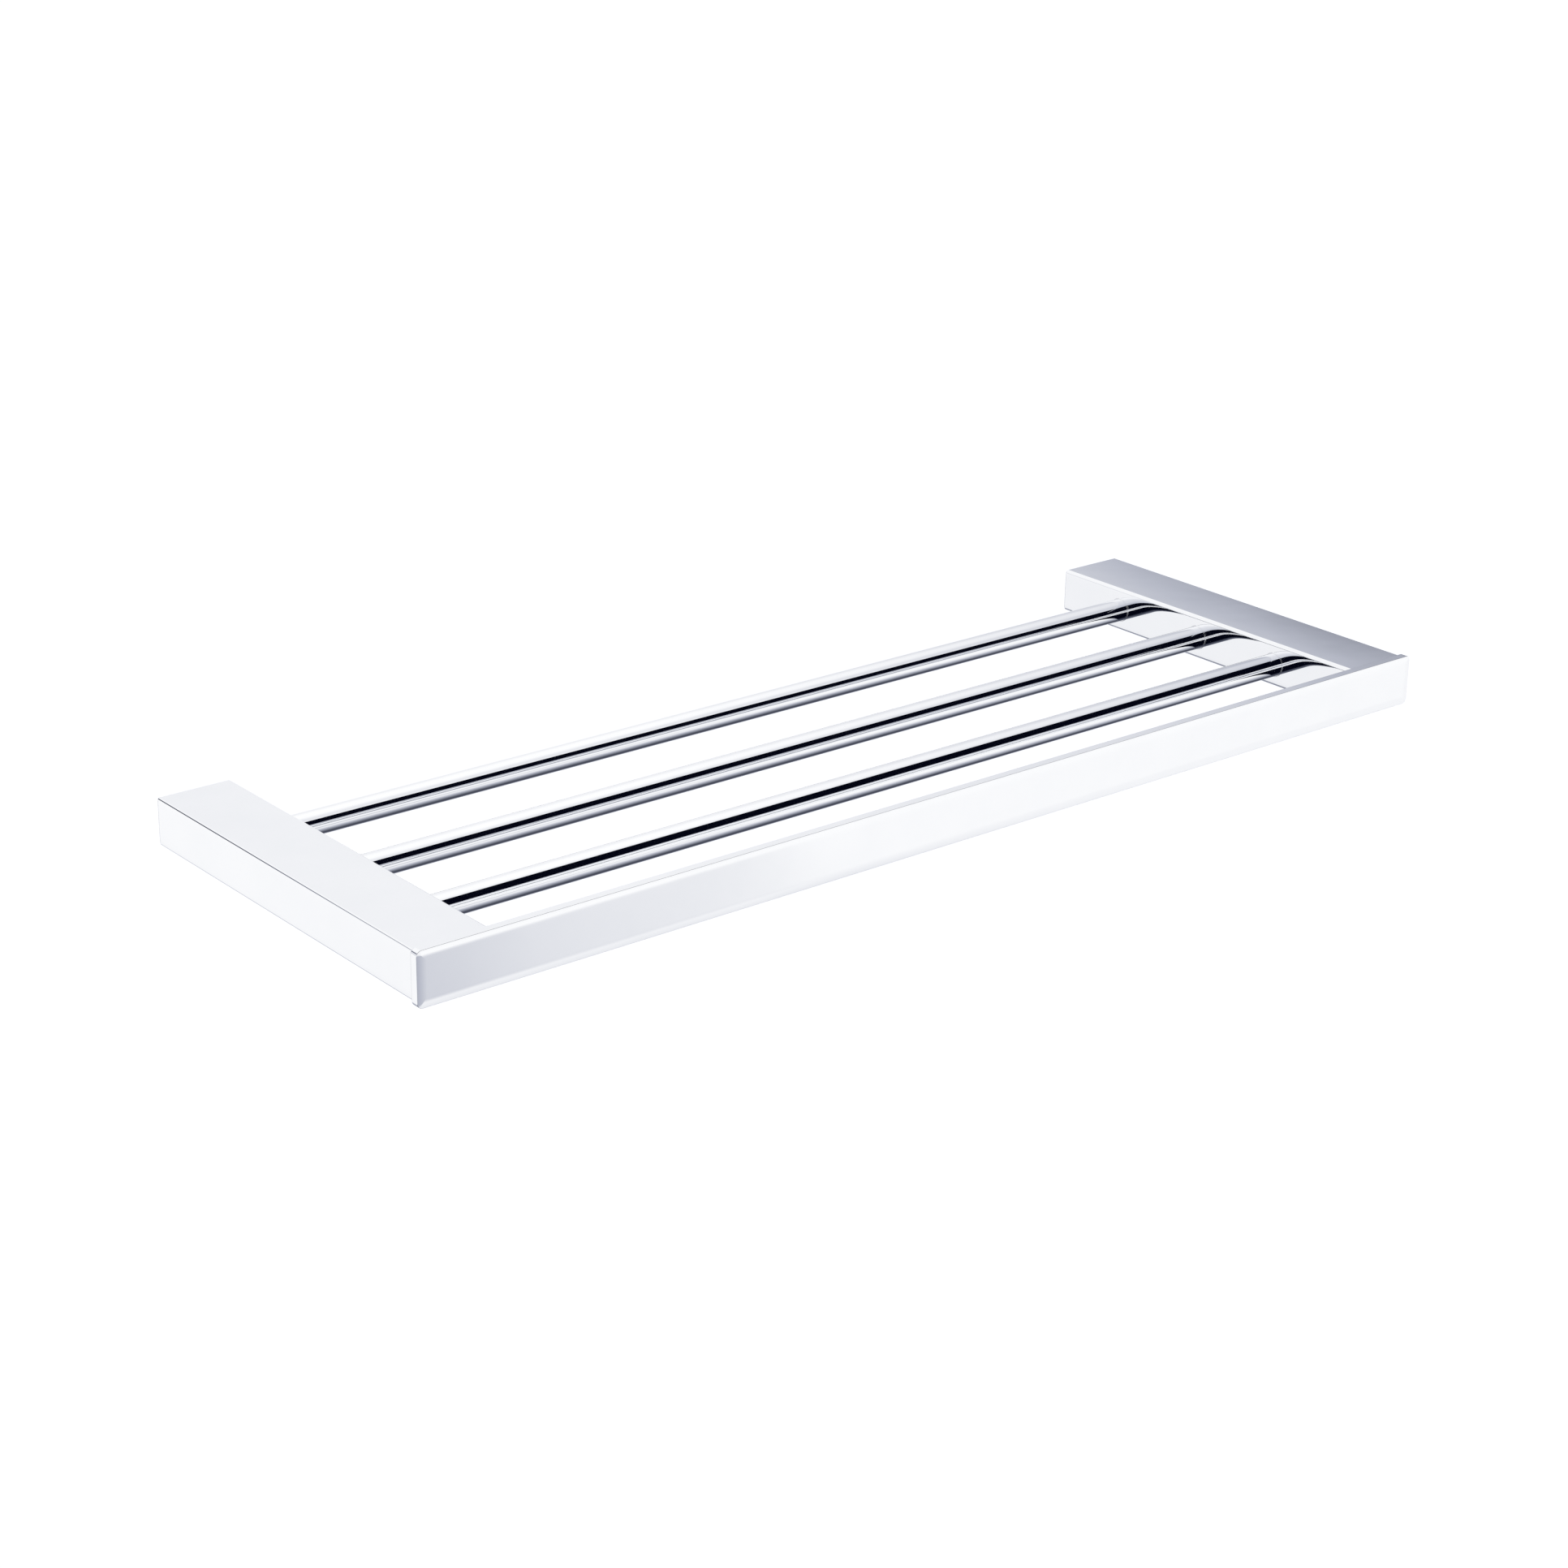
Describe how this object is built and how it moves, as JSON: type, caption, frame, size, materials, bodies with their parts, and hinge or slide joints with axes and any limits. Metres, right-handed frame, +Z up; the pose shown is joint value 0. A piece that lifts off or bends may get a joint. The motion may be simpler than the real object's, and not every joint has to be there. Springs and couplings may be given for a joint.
{
  "type": "towel rack",
  "caption": "Wall-mounted chrome towel rack: two flat hollow arms carry parallel round rods, with a flat rail across the front.",
  "frame": {"origin": "on the wall plane, midway between the two wall plates, at the arms' mid height", "axes": "+X along the rack, +Y towards the wall, +Z up"},
  "size_m": [0.6024, 0.2117, 0.0257],
  "materials": {
    "arm_chrome": "polished chrome plate on a casting",
    "rod_chrome": "polished chrome plate on tube",
    "rail_chrome": "polished chrome plate on flat bar",
    "screw_steel": "plain stainless steel",
    "plate_steel": "zinc-plated steel",
    "plug_brass": "turned brass"
  },
  "bodies": {
    "root": {"left_arm": "arm_chrome", "right_arm": "arm_chrome", "front_rail": "rail_chrome", "rear_rod": "rod_chrome", "middle_rod": "rod_chrome", "front_rod": "rod_chrome", "left_seat_rings": "rod_chrome", "right_seat_rings": "rod_chrome", "left_rod_plugs": "plug_brass", "right_rod_plugs": "plug_brass", "left_rod_screws": "screw_steel", "right_rod_screws": "screw_steel", "left_arm_screw": "screw_steel", "right_arm_screw": "screw_steel", "left_rail_stud": "screw_steel", "right_rail_stud": "screw_steel", "left_rail_dowel": "screw_steel", "right_rail_dowel": "screw_steel", "left_rail_washer": "screw_steel", "right_rail_washer": "screw_steel", "left_rail_nut": "screw_steel", "right_rail_nut": "screw_steel", "left_wall_plate": "plate_steel", "right_wall_plate": "plate_steel"}
  },
  "joints": []
}
